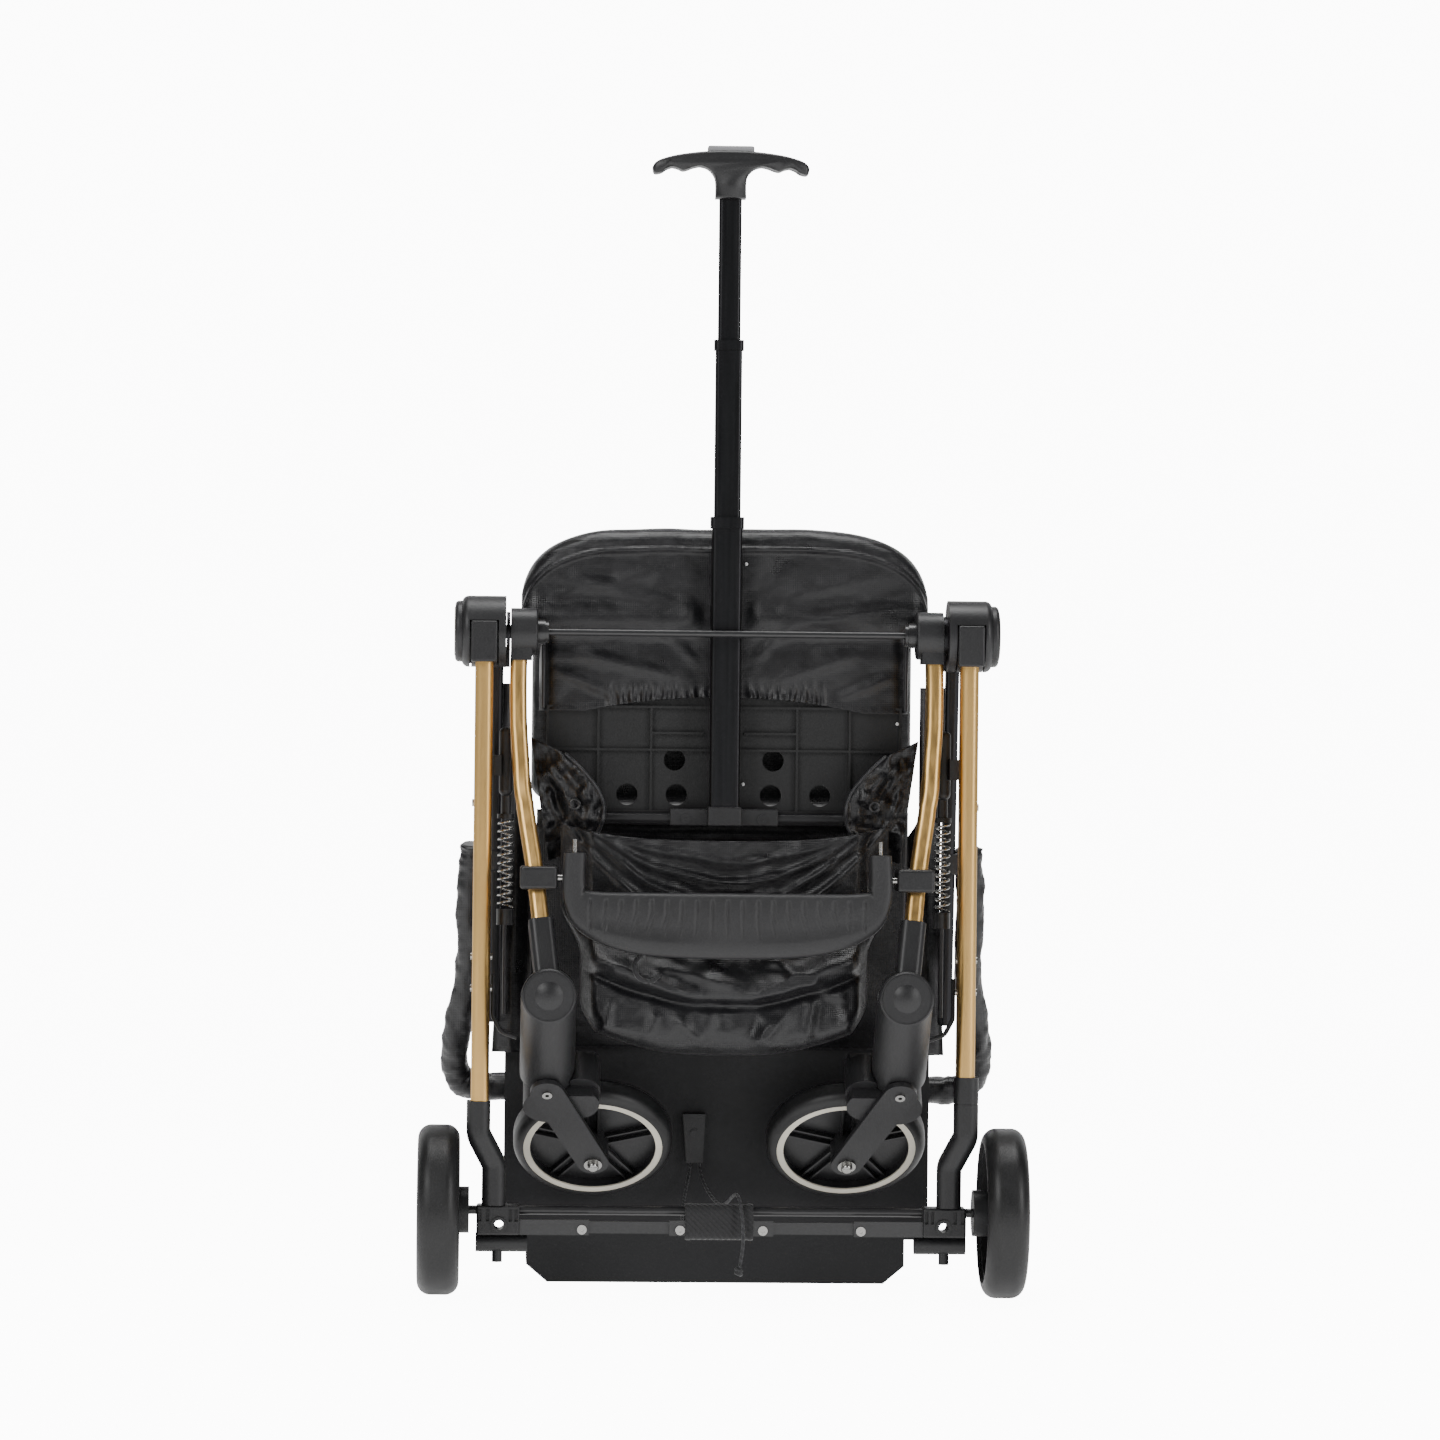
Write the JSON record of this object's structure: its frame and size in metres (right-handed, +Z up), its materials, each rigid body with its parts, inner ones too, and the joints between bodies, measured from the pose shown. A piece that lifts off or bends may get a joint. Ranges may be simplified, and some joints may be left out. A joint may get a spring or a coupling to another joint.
{
  "type": "folding pet stroller",
  "caption": "Compact pet stroller folded upright on its rear wheels and base board, swivel front wheels tucked in, telescopic pull handle extended.",
  "frame": {"origin": "middle of the footprint on the floor", "axes": "X across the stroller, -Y towards the side with the swivel wheels, +Z up along the pull handle"},
  "size_m": [0.536, 0.3035, 1.0184],
  "materials": {
    "gold_tube": "satin anodised",
    "black_plastic": "fine moulded satin",
    "black_steel": "satin paint",
    "bright_steel": "polished",
    "tyre": "matte",
    "trim": "pearl",
    "fabric": "coated nylon",
    "black_tube": "black anodised",
    "button": "grey",
    "cord": "braided",
    "foam": "foam",
    "board": "stiff board"
  },
  "bodies": {
    "rear_frame": {"rear_leg_left": "gold_tube", "rear_leg_right": "gold_tube", "hub_housing_left": "black_plastic", "hub_housing_right": "black_plastic", "hub_caps": "black_plastic", "hub_trim_rings": "trim", "pivot_pins": "black_steel", "rear_elbows": "black_plastic", "axle_brackets": "black_plastic", "rear_axle": "black_steel", "axle_tie_bar": "black_steel", "frame_screws": "bright_steel", "base_board": "board", "lock_shrouds": "black_plastic", "lock_spring_left": "bright_steel", "lock_spring_right": "bright_steel", "lock_cables": "black_plastic", "cabin_panel": "fabric", "pull_clip": "black_plastic", "pull_cord": "cord", "webbing_tab": "fabric"},
    "lock_left": {"lock_rod_left": "black_steel"},
    "lock_right": {"lock_rod_right": "black_steel"},
    "rear_wheel_left": {"rear_tyre_left": "tyre", "rear_rim_left": "black_plastic"},
    "rear_wheel_right": {"rear_tyre_right": "tyre", "rear_rim_right": "black_plastic"},
    "front_frame": {"front_leg_left": "gold_tube", "front_leg_right": "gold_tube", "front_collars": "black_plastic", "cross_rod": "black_steel", "cross_rod_fasteners": "black_steel", "leg_clamps": "black_plastic", "swivel_housing_left": "black_plastic", "swivel_housing_right": "black_plastic", "footwell": "fabric"},
    "bumper": {"bumper_bar": "black_plastic", "bumper_pins": "bright_steel"},
    "caster_left": {"fork_left": "black_plastic", "caster_bolts_left": "bright_steel"},
    "caster_right": {"fork_right": "black_plastic", "caster_bolts_right": "bright_steel"},
    "front_wheel_left": {"front_tyre_left": "tyre", "front_rim_left": "black_plastic", "front_trim_left": "trim"},
    "front_wheel_right": {"front_tyre_right": "tyre", "front_rim_right": "black_plastic", "front_trim_right": "trim"},
    "seat": {"seat_plate": "black_plastic", "seat_pad": "fabric", "seat_cross": "black_plastic", "trolley_outer": "black_tube"},
    "trolley_middle": {"trolley_mid": "black_tube"},
    "trolley_top": {"trolley_upper": "black_tube", "trolley_grip": "black_plastic"},
    "button": {"grip_button": "button"},
    "backrest": {"backrest": "fabric"},
    "push_handle": {"handle_tubes": "black_tube", "handle_bow": "foam"},
    "knob": {"handle_knob": "black_plastic"}
  },
  "joints": [
    {"name": "front_fold", "type": "hinge", "parent": "rear_frame", "child": "front_frame", "pos_m": [0, -0.045, 0.585], "axis": [-1, 0, 0], "range_deg": [0, 90]},
    {"name": "seat_fold", "type": "hinge", "parent": "rear_frame", "child": "seat", "pos_m": [0, -0.045, 0.585], "axis": [1, 0, 0], "range_deg": [0, 43.2]},
    {"name": "backrest_fold", "type": "hinge", "parent": "seat", "child": "backrest", "pos_m": [0, 0.039, 0.428], "axis": [-1, 0, 0], "range_deg": [0, 103.2]},
    {"name": "handle_fold", "type": "hinge", "parent": "rear_frame", "child": "push_handle", "pos_m": [0, -0.045, 0.585], "axis": [1, 0, 0], "range_deg": [0, 76.2]},
    {"name": "knob_turn", "type": "hinge", "parent": "push_handle", "child": "knob", "pos_m": [0.231, 0.077, 0.197], "axis": [0, 1, 0], "continuous": true},
    {"name": "bumper_swing", "type": "hinge", "parent": "front_frame", "child": "bumper", "pos_m": [0, -0.109, 0.37], "axis": [-1, 0, 0], "range_deg": [0, 90]},
    {"name": "trolley_middle_slide", "type": "slide", "parent": "seat", "child": "trolley_middle", "axis": [0, 0, -1], "range_m": [0, 0.143]},
    {"name": "trolley_top_slide", "type": "slide", "parent": "trolley_middle", "child": "trolley_top", "axis": [0, 0, -1], "range_m": [0, 0.116]},
    {"name": "button_press", "type": "slide", "parent": "trolley_top", "child": "button", "axis": [0, 0, -1], "range_m": [0, 0.003], "stiffness_N_per_m": 300, "springref_m": -0.002},
    {"name": "rear_wheel_left_spin", "type": "hinge", "parent": "rear_frame", "child": "rear_wheel_left", "pos_m": [-0.2495, -0.045, 0.075], "axis": [1, 0, 0], "continuous": true},
    {"name": "caster_left_swivel", "type": "hinge", "parent": "front_frame", "child": "caster_left", "pos_m": [-0.155, -0.13, 0.269], "axis": [0, 0.7278, -0.6858], "range_deg": [-4, 40]},
    {"name": "front_wheel_left_spin", "type": "hinge", "parent": "caster_left", "child": "front_wheel_left", "pos_m": [-0.113, 0.01192, 0.13526], "axis": [0, -0.6858, -0.7278], "continuous": true},
    {"name": "lock_left_pull", "type": "slide", "parent": "rear_frame", "child": "lock_left", "axis": [0, 0, 1], "range_m": [0, 0.01], "stiffness_N_per_m": 600, "springref_m": -0.004, "deforming": ["lock_spring_left"]},
    {"name": "rear_wheel_right_spin", "type": "hinge", "parent": "rear_frame", "child": "rear_wheel_right", "pos_m": [0.2495, -0.045, 0.075], "axis": [1, 0, 0], "continuous": true},
    {"name": "caster_right_swivel", "type": "hinge", "parent": "front_frame", "child": "caster_right", "pos_m": [0.155, -0.13, 0.269], "axis": [0, 0.7278, -0.6858], "range_deg": [-40, 4]},
    {"name": "front_wheel_right_spin", "type": "hinge", "parent": "caster_right", "child": "front_wheel_right", "pos_m": [0.113, 0.01192, 0.13526], "axis": [0, -0.6858, -0.7278], "continuous": true},
    {"name": "lock_right_pull", "type": "slide", "parent": "rear_frame", "child": "lock_right", "axis": [0, 0, 1], "range_m": [0, 0.01], "stiffness_N_per_m": 600, "springref_m": -0.004, "deforming": ["lock_spring_right"]}
  ],
  "couplings": [
    {"joint": "seat_fold", "follows": "front_fold", "ratio": 0.47778},
    {"joint": "backrest_fold", "follows": "front_fold", "ratio": 1.1444},
    {"joint": "handle_fold", "follows": "front_fold", "ratio": 0.84444},
    {"joint": "lock_right_pull", "follows": "lock_left_pull", "ratio": 1}
  ]
}
